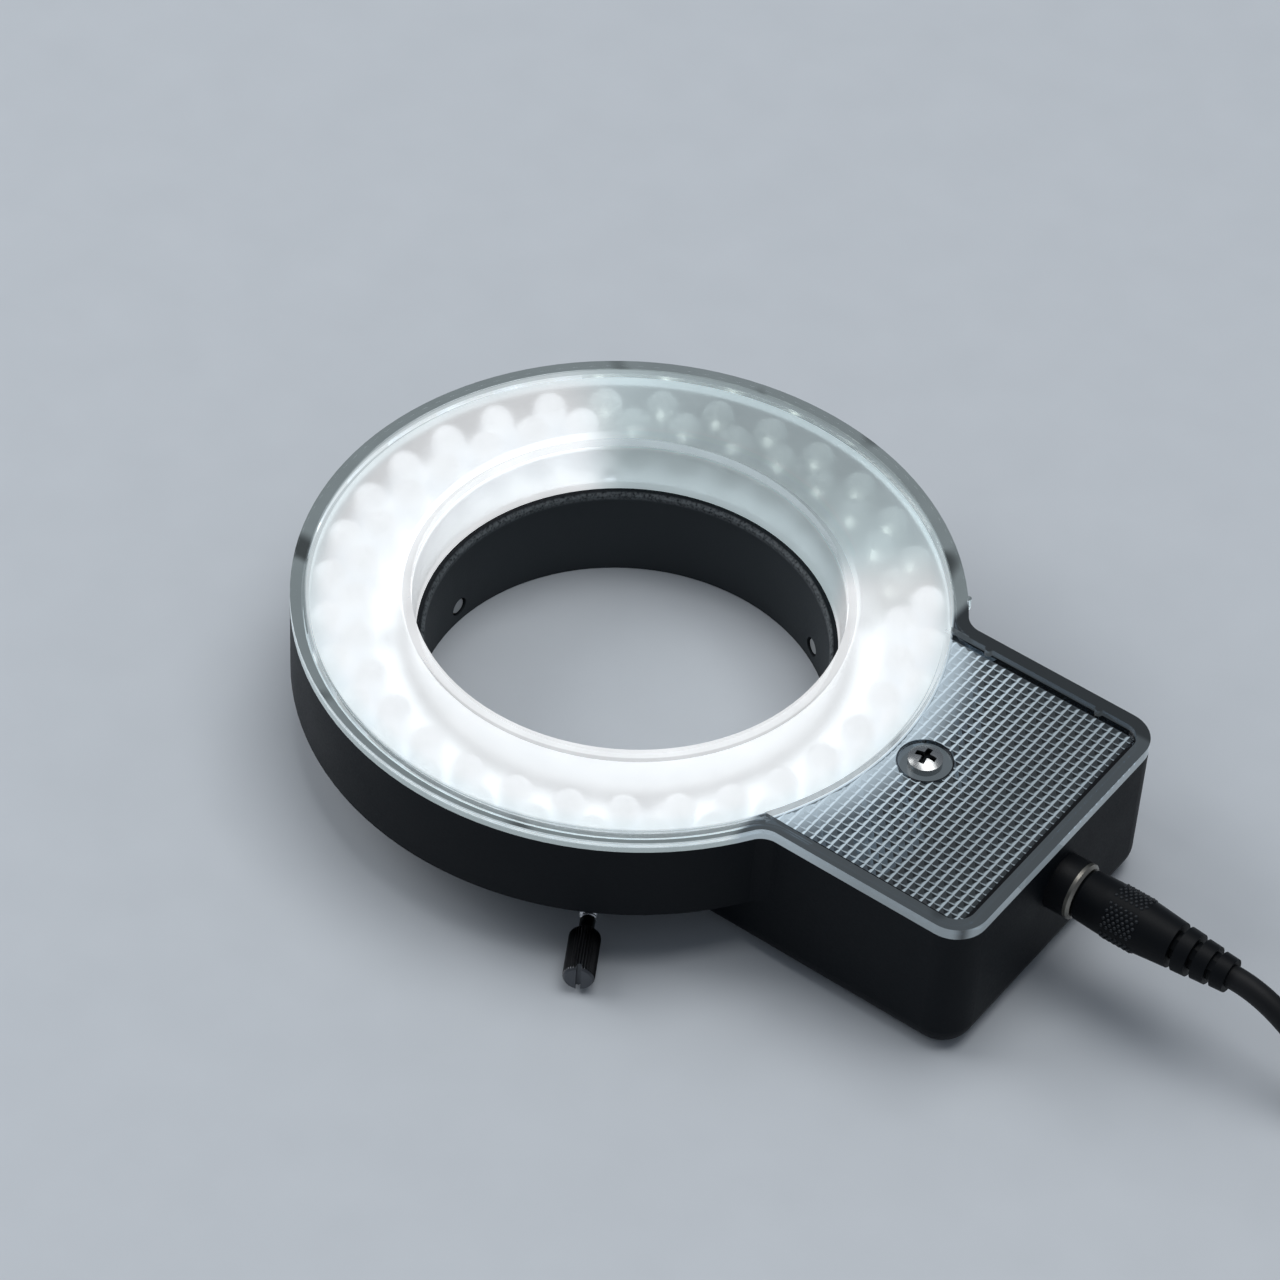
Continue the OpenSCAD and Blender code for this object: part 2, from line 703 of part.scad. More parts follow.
// Leads between the boards, arched clear of the parts below them
module wire(y, x0, x1) {
    z0 = driver_top;
    z1 = board_z;
    top = z1 - 2.2;
    tube([[x0, y, z0], [x0, y, z0 + 1.6], [x0 - 1.2, y, z0 + 3.4], [x0 - 3.4, y, top],
        [x1 + 3, y, top - 0.2], [x1 + 1, y, top + 0.3], [x1, y, z1 - 1], [x1, y, z1]], 0.6, 6, [0, 1, 0]);
}

module wires_red() {
    color([0.7, 0.1, 0.08]) for (y = [5.5, 12]) wire(driver_y[0] + y, driver_x + 1, in_x + 4);
}

module wires_black() {
    color([0.05, 0.05, 0.05]) for (y = [7.5, 14]) wire(driver_y[0] + y, driver_x + 1, in_x + 4);
}

module cord_lead() { color([0.05, 0.05, 0.06]) tube(lead_route, cord_r, 8, [0, 1, 0]); }
module cord_coil() { color([0.05, 0.05, 0.06]) tube(coil_route, cord_r, 6, [0, 0, 1]); }
module cord_tail() { color([0.05, 0.05, 0.06]) tube(tail_route, cord_r, 8, [0, 1, 0]); }

// Flat tie round the coil's turns
module cord_tie() {
    tie_t = 0.8;
    x0 = coil_c[0] + coil_out - coil_step * coil_mid - cord_r + 0.6;
    x1 = coil_c[0] + coil_out - 0.9 + cord_r;
    z1 = coil_c[2] + coil_lift + cord_r + 0.3;
    color([0.1, 0.1, 0.1]) translate([0, coil_c[1] + 2.5, 0]) rotate([90, 0, 0]) linear_extrude(5)
    difference() {
        round_rect(x0 - tie_t, x1 + tie_t, 0, z1 + tie_t, 2);
        round_rect(x0, x1, tie_t, z1, 1.2);
    }
}

module adapter_relief() {
    z = tail_route[len(tail_route) - 1][2];
    color([0.05, 0.05, 0.06]) translate([relief_at, 0, z]) rotate([0, 90, 0])
        cylinder(h = adapter_at - relief_at, r1 = cord_r + 0.6, r2 = cord_r + 1.7);
}

module adapter_plan(i) {
    round_rect(adapter_at + i, adapter_at + adapter_l - i, i - adapter_w / 2, adapter_w / 2 - i,
        adapter_corner - i);
}

// Plug-in power supply at the far end of the lead
module adapter_case() {
    color([0.08, 0.08, 0.09]) difference() {
        intersection() {
            upright(0, adapter_h) adapter_plan(0);
            rotate([90, 0, 90]) translate([0, 0, adapter_at - 1]) linear_extrude(adapter_l + 2)
                round_rect(-adapter_w / 2, adapter_w / 2, 0, adapter_h, adapter_edge);
        }
        upright(adapter_h / 2 - 0.25, adapter_h / 2 + 0.25) difference() {
            translate([adapter_at - adapter_l, -adapter_w]) square([3 * adapter_l, 2 * adapter_w]);
            adapter_plan(adapter_seam);
        }
    }
}

module adapter_pins() {
    color([0.75, 0.75, 0.74]) for (y = [-9.5, 9.5]) translate([adapter_at + adapter_l, y, adapter_h / 2])
        rotate([0, 90, 0]) {
            cylinder(h = 17.5, r = 2);
            translate([0, 0, 17.4]) cylinder(h = 1.5, r1 = 2, r2 = 1);
        }
}

housing();
clear_cover();
cover_screw();
lamp_board();
lamp_board_screws();
lamps_box_quarter();
lamps_far_quarter();
lamps_back_quarter();
lamps_near_quarter();
collar_inserts();
thumbscrew_back();
thumbscrew_far();
thumbscrew_near();
screw_pad_back();
screw_pad_far();
screw_pad_near();
driver_board();
driver_board_screws();
capacitors();
chips();
choke();
control_board();
dimmer_case();
dimmer_shaft();
dimmer_knob();
selector_switch();
selector_button();
socket_case();
socket_ring();
socket_pin();
plug_grip();
plug_sleeve();
wires_red();
wires_black();
cord_lead();
cord_coil();
cord_tail();
cord_tie();
adapter_relief();
adapter_case();
adapter_pins();
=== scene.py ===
# Ring light for a microscope, lying on a table with its lamps upward: a black moulded ring with a
# control box on one side, lamps in two rows under a clear cover, a clamping collar with three
# thumbscrews, and a corded plug-in supply. Lengths are in metres.
import math

import bmesh
import bpy
from mathutils import Matrix, Vector


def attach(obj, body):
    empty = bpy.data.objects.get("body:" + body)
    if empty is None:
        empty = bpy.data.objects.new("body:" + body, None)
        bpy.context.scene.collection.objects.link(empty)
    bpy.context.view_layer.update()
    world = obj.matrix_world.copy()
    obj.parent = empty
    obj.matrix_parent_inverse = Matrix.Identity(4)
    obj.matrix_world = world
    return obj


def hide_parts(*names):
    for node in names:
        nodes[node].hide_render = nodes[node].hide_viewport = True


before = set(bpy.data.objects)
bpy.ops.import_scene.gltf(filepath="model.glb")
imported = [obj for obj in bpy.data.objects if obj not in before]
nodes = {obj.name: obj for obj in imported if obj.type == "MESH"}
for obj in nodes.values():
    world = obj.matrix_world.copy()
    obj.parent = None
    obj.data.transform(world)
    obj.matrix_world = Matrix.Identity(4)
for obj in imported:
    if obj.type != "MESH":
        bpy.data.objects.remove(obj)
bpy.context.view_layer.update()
scene = bpy.context.scene
scene.view_settings.view_transform = "Standard"

# Camera. A long lens looks down on the ring from in front of the box's near side. The sensor and
# the lens are in millimetres.
camera_data = bpy.data.cameras.new("camera")
camera_data.sensor_width = 36.0
camera_data.lens = 140.23
camera_data.clip_start = 0.01
camera = bpy.data.objects.new("camera", camera_data)
scene.collection.objects.link(camera)
view_right = Vector((0.8028, 0.5946, 0.0451))
view_up = Vector((-0.4511, 0.5561, 0.6980))
view_back = view_right.cross(view_up)
camera_place = Matrix.Translation((0.28321, -0.41839, 0.53193))
camera.matrix_world = camera_place @ Matrix((view_right, view_up, view_back)).transposed().to_4x4()
scene.camera = camera

# Power cord: a thin round low-voltage lead in a soft black jacket. It leaves the plug's strain
# relief, falls to the table, is wound into a coil of two layers, and rises to the supply.
CORD_WIDTH, CORD_LENGTH = 0.0035, 1.2
RELIEF_END, SOCKET_HEIGHT, SUPPLY_HEIGHT = 0.103, 0.0163, 0.0130
LOWER_LAYER, COIL_STEP = 0.0028, 0.004
UPPER_LAYER = LOWER_LAYER + COIL_STEP
COIL_RADIUS, COIL_LOOPS, KNOTS_PER_LOOP = 0.029, 9, 24
COIL_CENTRE = Vector((0.138, COIL_RADIUS, LOWER_LAYER))
MILLIMETRE = 0.001
# Each stretch lists the millimetres along it, and the share of its height that is left or gained
lead_fall = [(0, 1), (0.8, 1), (2.2, 0.992), (4, 0.966), (6, 0.917), (8.3, 0.834), (11, 0.706),
             (14, 0.538), (17, 0.367), (20, 0.211), (23, 0.091), (26, 0.022), (29, 0), (31.5, 0)]
tail_rise = [(3.5, 0), (5, 0), (8, 0.03), (11, 0.129), (15, 0.355), (19, 0.677), (23, 0.919), (26, 1),
             (28, 1)]
cord_route = []
for along, fall in lead_fall:
    height = LOWER_LAYER + (SOCKET_HEIGHT - LOWER_LAYER) * fall
    cord_route.append(Vector((RELIEF_END + MILLIMETRE * along, 0, height)))
for knot in range(COIL_LOOPS * KNOTS_PER_LOOP + 1):
    turn = knot / KNOTS_PER_LOOP
    from_middle = turn - COIL_LOOPS / 2
    reach = COIL_RADIUS - COIL_STEP * (COIL_LOOPS / 2 - abs(from_middle))
    climb = COIL_STEP * min(1, max(0, 2 * from_middle + 0.5))
    angle = 2 * math.pi * turn
    cord_route.append(COIL_CENTRE + Vector((reach * math.sin(angle), -reach * math.cos(angle), climb)))
for along, rise in tail_rise:
    height = UPPER_LAYER + (SUPPLY_HEIGHT - UPPER_LAYER) * rise
    cord_route.append(Vector((COIL_CENTRE.x + MILLIMETRE * along, 0, height)))


def tube_along(name, routes, width):
    curve = bpy.data.curves.new(name, "CURVE")
    curve.dimensions = "3D"
    curve.resolution_u = 5
    curve.bevel_depth = width / 2
    curve.bevel_resolution = 4
    curve.use_fill_caps = True
    for route in routes:
        spline = curve.splines.new("BEZIER")
        spline.bezier_points.add(len(route) - 1)
        for knot, place in zip(spline.bezier_points, route):
            knot.co = place
            knot.handle_left_type = knot.handle_right_type = "AUTO"
    tube = bpy.data.objects.new(name, curve)
    scene.collection.objects.link(tube)
    return tube


def put(tree, kind, inputs=(), **settings):
    node = tree.nodes.new("ShaderNode" + kind)
    for key, value in settings.items():
        setattr(node, key, value)
    for socket, value in dict(inputs).items():
        if isinstance(value, bpy.types.NodeSocket):
            tree.links.new(value, node.inputs[socket])
        else:
            node.inputs[socket].default_value = value
    return node


# The helpers below add their node to the tree that the given sockets belong to
def maths(operation, *values):
    tree = next(value.id_data for value in values if isinstance(value, bpy.types.NodeSocket))
    return put(tree, "Math", dict(enumerate(values)), operation=operation).outputs[0]


def noise(place, scale, detail=2.0, roughness=0.5):
    inputs = {"Vector": place, "Scale": scale, "Detail": detail, "Roughness": roughness}
    return put(place.id_data, "TexNoise", inputs).outputs["Fac"]


def scaled(colour, amount):
    return put(amount.id_data, "VectorMath", {0: colour, "Scale": amount}, operation="SCALE").outputs[0]


def finish_group(name, inputs, outputs):
    group = bpy.data.node_groups.new(name, "ShaderNodeTree")
    for label, kind, value in inputs:
        socket = group.interface.new_socket(label, in_out="INPUT", socket_type="NodeSocket" + kind)
        socket.default_value = value
    for label, kind in outputs:
        group.interface.new_socket(label, in_out="OUTPUT", socket_type="NodeSocket" + kind)
    return group, group.nodes.new("NodeGroupInput").outputs, group.nodes.new("NodeGroupOutput")


SURFACE_OUTPUTS = [("Colour", "Color"), ("Roughness", "Float"), ("Normal", "Vector")]


def close_group(group, out, *sockets):
    for (label, _), socket in zip(SURFACE_OUTPUTS, sockets):
        group.links.new(socket, out.inputs[label])


# Grain of a moulded surface: a fine pebble in the bump and the gloss, and a slow drift of tone
moulded_grain, given, out = finish_group(
    "moulded_grain",
    [("Colour", "Color", (0.02, 0.02, 0.02, 1)), ("Drift", "Float", 0.2), ("Gloss", "Float", 0.5),
     ("Grain size", "Float", 0.0003), ("Grain height", "Float", 0.00001)],
    SURFACE_OUTPUTS)
place = put(moulded_grain, "TexCoord").outputs["Object"]
pebble = noise(place, maths("DIVIDE", 1.0, given["Grain size"]))
cloud = noise(place, 90.0, detail=4.0)
tone = maths("MULTIPLY_ADD", maths("SUBTRACT", cloud, 0.5), given["Drift"], 1.0)
uneven = maths("SUBTRACT", maths("ADD", pebble, cloud), 1.0)
dull = maths("MULTIPLY_ADD", uneven, 0.15, given["Gloss"])
relief = put(moulded_grain, "Bump", {"Height": pebble, "Distance": given["Grain height"]}).outputs[0]
close_group(moulded_grain, out, scaled(given["Colour"], tone), dull, relief)


def new_material(name):
    material = bpy.data.materials.new(name)
    material.use_nodes = True
    return material, material.node_tree, material.node_tree.nodes["Principled BSDF"]


def finished(name, group, values):
    material, tree, surface = new_material(name)
    effect = put(tree, "Group", values, node_tree=group)
    for label, socket in (("Colour", "Base Color"), ("Roughness", "Roughness"), ("Normal", "Normal")):
        tree.links.new(effect.outputs[label], surface.inputs[socket])
    return material, surface


def moulded(name, colour, gloss, grain=0.0003, height=0.00001, drift=0.2, specular=0.5):
    values = {"Colour": (*colour, 1), "Drift": drift, "Gloss": gloss, "Grain size": grain,
              "Grain height": height}
    material, surface = finished(name, moulded_grain, values)
    surface.inputs["Specular IOR Level"].default_value = specular
    return material


def coat(piece, *materials):
    piece.data.materials.clear()
    for material in materials:
        piece.data.materials.append(material)
    return piece


soft_jacket = moulded("soft_jacket", (0.006, 0.0068, 0.0082), 0.55, grain=0.0002, height=0.000006,
                      specular=0.25)
power_cord = coat(tube_along("power_cord", [cord_route], CORD_WIDTH), soft_jacket)
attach(power_cord, "base")
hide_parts("cord_lead", "cord_coil", "cord_tail")

# Cord tie and plug-in supply: a moulded strap round the coil, and a black case in two welded halves
# with a tapered strain relief and two round nickel pins.
coat(nodes["cord_tie"], moulded("tie_plastic", (0.02, 0.02, 0.021), 0.5))
coat(nodes["adapter_relief"], soft_jacket)
supply_case = moulded("supply_case", (0.016, 0.017, 0.019), 0.48, grain=0.0006, height=0.00003)
coat(nodes["adapter_case"], supply_case)

# Turned or plated metal: fine tool marks, and a gloss that drifts over the surface
metal_marks, given, out = finish_group(
    "metal_marks",
    [("Colour", "Color", (0.6, 0.6, 0.6, 1)), ("Drift", "Float", 0.2), ("Gloss", "Float", 0.25),
     ("Mark size", "Float", 0.0002), ("Mark height", "Float", 0.000004)],
    SURFACE_OUTPUTS)
place = put(metal_marks, "TexCoord").outputs["Object"]
marks = noise(place, maths("DIVIDE", 1.0, given["Mark size"]), detail=4.0, roughness=0.7)
bloom = noise(place, 700.0)
tone = maths("MULTIPLY_ADD", maths("SUBTRACT", bloom, 0.5), given["Drift"], 1.0)
dull = maths("MULTIPLY_ADD", maths("SUBTRACT", marks, 0.5), 0.3, given["Gloss"])
relief = put(metal_marks, "Bump", {"Height": marks, "Distance": given["Mark height"]}).outputs[0]
close_group(metal_marks, out, scaled(given["Colour"], tone), dull, relief)


def metal(name, colour, gloss, mark=0.0002, height=0.000004, drift=0.25):
    values = {"Colour": (*colour, 1), "Drift": drift, "Gloss": gloss, "Mark size": mark,
              "Mark height": height}
    material, surface = finished(name, metal_marks, values)
    surface.inputs["Metallic"].default_value = 1.0
    return material


nickel = metal("nickel_plate", (0.68, 0.67, 0.63), 0.2)
coat(nodes["adapter_pins"], nickel)

# Table and studio: a plain pale top, a hair below the object, under two soft boxes and an even
# surround.
TABLE_HALF, TABLE_TOP = 4, -0.0001
table_ways = ((-1, -1), (1, -1), (1, 1), (-1, 1))
table_corners = [(x * TABLE_HALF, y * TABLE_HALF, TABLE_TOP) for x, y in table_ways]
floor_mesh = bpy.data.meshes.new("floor")
floor_mesh.from_pydata(table_corners, [], [(0, 1, 2, 3)])
floor = bpy.data.objects.new("floor", floor_mesh)
scene.collection.objects.link(floor)
coat(floor, moulded("pale_table", (0.60, 0.64, 0.68), 0.42, grain=0.0008, height=0.000004, drift=0.06))
SOFT_BOX_WIDTH, SOFT_BOX_POWER = 1.0, 10
aim = Vector((0.02, 0, 0.01))
for name, place in (("left_soft_box", (-1.25, -0.35, 1.0)), ("top_soft_box", (0.15, 0.25, 1.5))):
    lamp = bpy.data.lights.new(name, "AREA")
    lamp.shape = "SQUARE"
    lamp.size = SOFT_BOX_WIDTH
    lamp.energy = SOFT_BOX_POWER
    soft_box = bpy.data.objects.new(name, lamp)
    scene.collection.objects.link(soft_box)
    soft_box.location = place
    soft_box.rotation_euler = (aim - Vector(place)).to_track_quat("-Z", "Y").to_euler()
world = bpy.data.worlds.new("surround")
scene.world = world
world.use_nodes = True
surround = world.node_tree.nodes["Background"].inputs
surround["Color"].default_value = (0.80, 0.88, 1.0, 1)
surround["Strength"].default_value = 0.25


# Housing: ring, control box and clamping collar in one black moulding with a fine spark-eroded
# grain. It stands on its collar and on the underside of the box.
def where(tree):
    spot = put(tree, "TexCoord").outputs
    x_y_z = put(tree, "SeparateXYZ", {0: spot["Object"]}).outputs
    flat_spot = put(tree, "CombineXYZ", {"X": x_y_z["X"], "Y": x_y_z["Y"]}).outputs[0]
    reach = put(tree, "VectorMath", {0: flat_spot}, operation="LENGTH").outputs["Value"]
    return spot, x_y_z, flat_spot, reach


def ramp(value, low, high, start=0.0, end=1.0):
    limits = {"Value": value, 1: low, 2: high, 3: start, 4: end}
    return put(value.id_data, "MapRange", limits, interpolation_type="SMOOTHSTEP").outputs[0]


def between(share, low, high):
    sides = {"Factor": share, "A": low, "B": high}
    return put(share.id_data, "Mix", sides, data_type="FLOAT").outputs["Result"]


def tinted(share, low, high):
    sides = {"Factor": share, "A": low, "B": high}
    return put(share.id_data, "Mix", sides, data_type="RGBA").outputs["Result"]


def chain(operation, first, *others):
    for other in others:
        first = maths(operation, first, other)
    return first


def times(*values):
    return chain("MULTIPLY", *values)


def stain(material, share, colour):
    base = material.node_tree.nodes["Principled BSDF"].inputs["Base Color"]
    material.node_tree.links.new(tinted(share, base.links[0].from_socket, colour), base)


black_moulding = moulded("black_moulding", (0.0034, 0.0052, 0.0076), 0.5, grain=0.00035, height=0.000012,
                         drift=0.3, specular=0.11)
# The bore's wall below the stop is a lighter grey, and the stop at its top carries painted light in
# patches
spot, x_y_z, _, reach = where(black_moulding.node_tree)
ledge_patches = noise(spot["Object"], 2200.0, detail=3.0)
bored = times(ramp(reach, 0.0309, 0.0306), ramp(x_y_z["Z"], 0.0160, 0.0154))
painted_ledge_light = times(ramp(reach, 0.0300, 0.0297), ramp(x_y_z["Z"], 0.0152, 0.0158), ramp(ledge_patches, 0.20, 0.66))
stain(black_moulding, bored, (0.034, 0.040, 0.045, 1))
stain(black_moulding, painted_ledge_light, (0.105, 0.117, 0.125, 1))
coat(nodes["housing"], black_moulding)

# Lamp board: a ring of white-masked board on four posts, with a zinc-plated screw in each. The light
# that the switched-on lamps throw on it is painted on as a glow.
lamp_wash, _, out = finish_group("lamp_wash", [], [("Lit", "Float"), ("Spill", "Float")])
x_y_z = where(lamp_wash)[1]
from_off_quarter = maths("ABSOLUTE", maths("ARCTAN2", x_y_z["X"], x_y_z["Y"]))
for label, low, high in (("Lit", 36, 52), ("Spill", 12, 46)):
    share = ramp(from_off_quarter, math.radians(low), math.radians(high))
    lamp_wash.links.new(share, out.inputs[label])
white_mask = moulded("white_mask", (0.74, 0.77, 0.77), 0.35, grain=0.0004, height=0.000006, drift=0.1)
tree = white_mask.node_tree
surface = tree.nodes["Principled BSDF"]
lit = put(tree, "Group", node_tree=lamp_wash).outputs["Lit"]
tree.links.new(scaled((0.95, 0.98, 1.0), lit), surface.inputs["Emission Color"])
surface.inputs["Emission Strength"].default_value = 0.70
coat(nodes["lamp_board"], white_mask)
zinc = metal("zinc_plate", (0.62, 0.64, 0.66), 0.28)
coat(nodes["lamp_board_screws"], zinc)

# Lamps: 5 mm clear resin lamps with a rim at the foot and a round top, in two staggered rows, wired
# in quarters. Three quarters are switched on. Each holds a lead frame with a cup for the chip.
LAMPS_PER_ROW, FIRST_LAMP = 32, math.radians(1.8 - 45)
OUTER_ROW, INNER_ROW, BOARD_TOP = 0.0435, 0.0394, 0.015
LAMP_LOW, LAMP_HIGH = 0.0165, 0.0225


def resin(name, colour, through, glow, gloss):
    material, tree, surface = new_material(name)
    place = put(tree, "TexCoord").outputs["Object"]
    height = put(tree, "SeparateXYZ", {0: place}).outputs["Z"]
    top = ramp(height, LAMP_LOW, LAMP_HIGH)
    # The resin is painted darker towards the foot, as painted shade near the board
    foot_colour = tuple(0.8 * channel for channel in colour)
    tree.links.new(tinted(top, (*foot_colour, 1), (*colour, 1)), surface.inputs["Base Color"])
    dull = maths("MULTIPLY_ADD", noise(place, 1200.0), 0.12, gloss - 0.06)
    tree.links.new(dull, surface.inputs["Roughness"])
    surface.inputs["IOR"].default_value = 1.5
    surface.inputs["Transmission Weight"].default_value = through
    if glow:
        light = tinted(top, (0.72, 0.78, 0.84, 1), (1, 1, 0.99, 1))
        tree.links.new(light, surface.inputs["Emission Color"])
        surface.inputs["Emission Strength"].default_value = glow
    return material


resin_on = resin("resin_switched_on", (0.62, 0.65, 0.68), 0.0, 0.32, 0.3)
resin_off = resin("resin_switched_off", (0.84, 0.89, 0.85), 0.75, 0.0, 0.34)
for quarter in ("box", "back", "near"):
    coat(nodes["lamps_%s_quarter" % quarter], resin_on)
coat(nodes["lamps_far_quarter"], resin_off)


def on_circle(radius, share, height):
    angle = 2 * math.pi * share
    return Vector((radius * math.cos(angle), radius * math.sin(angle), height))


def revolve(mesh, profile, steps, at):
    rings = []
    for radius, height in profile:
        count = steps if radius else 1
        rings.append([mesh.verts.new(at @ on_circle(radius, k / count, height)) for k in range(count)])
    for low, high in zip(rings, rings[1:]):
        for k in range(steps):
            around = ((low, k), (low, k + 1), (high, k + 1), (high, k))
            corners = [ring[i % len(ring)] for ring, i in around]
            corners = [c for i, c in enumerate(corners) if c not in corners[:i]]
            if len(corners) > 2:
                mesh.faces.new(corners).smooth = True


def block(mesh, low, high, at=Matrix.Identity(4)):
    x_range, y_range, z_range = zip(low, high)
    corner = [mesh.verts.new(at @ Vector((x, y, z))) for x in x_range for y in y_range for z in z_range]
    for side in ((0, 1, 3, 2), (4, 6, 7, 5), (0, 4, 5, 1), (2, 3, 7, 6), (0, 2, 6, 4), (1, 5, 7, 3)):
        mesh.faces.new([corner[i] for i in side])


def piece_from(mesh, name, *materials):
    bmesh.ops.recalc_face_normals(mesh, faces=mesh.faces)
    data = bpy.data.meshes.new(name)
    mesh.to_mesh(data)
    mesh.free()
    piece = bpy.data.objects.new(name, data)
    scene.collection.objects.link(piece)
    return coat(piece, *materials)


# One lead frame: a post that carries the chip's cup, and a shorter post beside it
chip_post = ((-0.0011, -0.00025, 0.0004), (-0.0005, 0.00025, 0.0036))
wire_post = ((0.0004, -0.00025, 0.0004), (0.001, 0.00025, 0.0030))
chip_cup = [(0, 0.0036), (0.0008, 0.0036), (0.001, 0.0046), (0.0008, 0.0046), (0.0004, 0.0040),
            (0, 0.0040)]
CUP_SHIFT, CUP_STEPS = -0.0004, 16
frames = bmesh.new()
for row, shift in ((INNER_ROW, 0.0), (OUTER_ROW, 0.5)):
    for k in range(LAMPS_PER_ROW):
        turn = FIRST_LAMP + 2 * math.pi * (k + shift) / LAMPS_PER_ROW
        at = Matrix.Rotation(turn, 4, "Z") @ Matrix.Translation((row, 0, BOARD_TOP))
        block(frames, *chip_post, at)
        block(frames, *wire_post, at)
        revolve(frames, chip_cup, CUP_STEPS, at @ Matrix.Translation((CUP_SHIFT, 0, 0)))
lead_frames = piece_from(frames, "lamp_lead_frames", nickel)
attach(lead_frames, "base")

# Clear cover: one injection moulding in clear plastic, polished outside and a little milky over the
# lamps. The light of the lamps that runs in it is painted on as a glow at its edges and in the prisms next
# to the ring.
WINDOW_EDGE, PLATE_LOW, PLATE_MIDDLE, FLAT_RIM = 0.0465, 0.0240, 0.0250, 0.0252
PRISM_PITCH, PRISM_END, PRISM_SIDE, EDGE_BLUR = 0.0014, 0.0720, 0.0220, 0.0001
COVER_SCREW, SCREW_CUP = (0.0514, 0, 0), 0.0040
CONE_SLOPE = 0.0909
clear_plastic, tree, surface = new_material("clear_plastic")
spot, x_y_z, flat_spot, reach = where(tree)
facing = put(tree, "SeparateXYZ", {0: spot["Normal"]}).outputs
wash = put(tree, "Group", node_tree=lamp_wash).outputs
lit, spill = wash["Lit"], wash["Spill"]
window = ramp(reach, WINDOW_EDGE + 0.0002, WINDOW_EDGE - 0.0002)
box_side = times(ramp(reach, WINDOW_EDGE - 0.0003, WINDOW_EDGE + 0.0001), ramp(x_y_z["X"], 0.0385, 0.0400))
wall_like = ramp(maths("ABSOLUTE", facing["Z"]), 0.5, 0.2)
inner_wall = ramp(reach, 0.0350, 0.0340)
outside = maths("SUBTRACT", 1.0, put(tree, "NewGeometry").outputs["Backfacing"])

# Painted glow over the lamps and on the cone, for the light that the milky inside scatters; the window's
# inner edge carries most of it
milk_glow = between(lit, between(spill, 0.31, 0.48), ramp(reach, 0.0332, 0.0329, 0.59, 0.79))
over_lamps = times(milk_glow, window, ramp(x_y_z["Z"], PLATE_LOW, PLATE_MIDDLE), outside)
low_cone = ramp(x_y_z["Z"], PLATE_LOW, 0.0180)
through_wall = maths("MULTIPLY_ADD", x_y_z["Z"], -CONE_SLOPE, reach)
bore_face = between(lit, between(low_cone, 0.29, 0.40), 0.45)
cone_light = between(ramp(through_wall, 0.0295, 0.0300), bore_face, between(lit, 0.10, 0.46))
cone_foot = times(ramp(x_y_z["Z"], 0.0186, 0.0174), between(lit, 0.06, 0.30))
plate_edge = ramp(x_y_z["Z"], PLATE_LOW - 0.0002, PLATE_LOW + 0.0004)
cone_light = between(plate_edge, maths("ADD", cone_light, cone_foot), between(lit, 0.36, 0.82))
cone_light = times(cone_light, outside)

# Painted light in the rim: pale at its outer wall, patchy on top where the wall below it touches
to_end = maths("SUBTRACT", PRISM_END, x_y_z["X"])
to_side = maths("ABSOLUTE", x_y_z["Y"])
from_screw = put(tree, "VectorMath", {0: flat_spot, 1: COVER_SCREW}, operation="DISTANCE").outputs["Value"]
outer_wall = maths("MAXIMUM", ramp(to_side, 0.0235, 0.0245), ramp(to_end, -0.0015, -0.0025))
outer_wall = between(box_side, 1.0, between(outer_wall, 0.22, 1.0))
off_cup = ramp(from_screw, SCREW_CUP + 0.0006, SCREW_CUP + 0.0016)
rim_light = times(ramp(reach, 0.0480, 0.0640, 0.36, 0.22), outer_wall, off_cup, outside)
patches = ramp(noise(flat_spot, 75.0, detail=1.0), 0.36, 0.44, 0.25, 1.0)
box_rim = ramp(x_y_z["Y"], 0.0215, 0.0225, 0.075, 0.03)
off_window = ramp(reach, WINDOW_EDGE - 0.0002, WINDOW_EDGE + 0.0002)
on_rim = ramp(x_y_z["Z"], FLAT_RIM - 0.0003, FLAT_RIM)
rim_top = times(between(box_side, 0.22, box_rim), patches, off_window, on_rim, outside)


def off_ridge(run):
    share = maths("FRACT", maths("MULTIPLY", run, 1 / PRISM_PITCH))
    return maths("ABSOLUTE", maths("SUBTRACT", share, 0.5))


# Prisms: painted highlights on the ridges and painted light on the facets turned to the lamps, most of
# all next to the ring; the facets turned to the near side stay dark
inside_end = ramp(to_end, -EDGE_BLUR, EDGE_BLUR)
inside_sides = ramp(to_side, PRISM_SIDE + EDGE_BLUR, PRISM_SIDE - EDGE_BLUR)
sunk = ramp(x_y_z["Z"], FLAT_RIM, FLAT_RIM - 0.0003)
prisms = times(box_side, sunk, inside_end, inside_sides, ramp(from_screw, SCREW_CUP, SCREW_CUP + 0.0002))
off_long, off_cross = off_ridge(to_end), off_ridge(maths("ADD", x_y_z["Y"], PRISM_PITCH / 2))
long_ridge = ramp(off_long, 0.05, 0.02, 0.0, 0.88)
cross_ridge = ramp(off_cross, 0.06, 0.02, 0.0, 0.66)
next_to_ring = ramp(reach, 0.0468, 0.0530, 0.68, 0.03)
to_lamps = times(ramp(facing["X"], -0.15, -0.40), ramp(off_long, 0.42, 0.24, 0.30, 1.0))
to_back = times(ramp(facing["Y"], 0.15, 0.40), ramp(off_cross, 0.42, 0.24, 0.14, 0.62))
to_box_end = ramp(facing["X"], 0.15, 0.40, 0.0, 0.09)
prism_light = chain("MAXIMUM", long_ridge, cross_ridge, next_to_ring, to_lamps, to_back, to_box_end)
prism_light = times(ramp(reach, 0.0470, 0.0660, 0.74, 0.42), prism_light, prisms, outside)
# Painted light on the floor of the screw's cup
in_cup = ramp(from_screw, SCREW_CUP, SCREW_CUP - 0.0002)
cup_floor = times(ramp(x_y_z["Z"], 0.0244, 0.0242), ramp(x_y_z["Z"], 0.0234, 0.0238))
screw_cup_glow = times(in_cup, cup_floor, 0.13, outside)
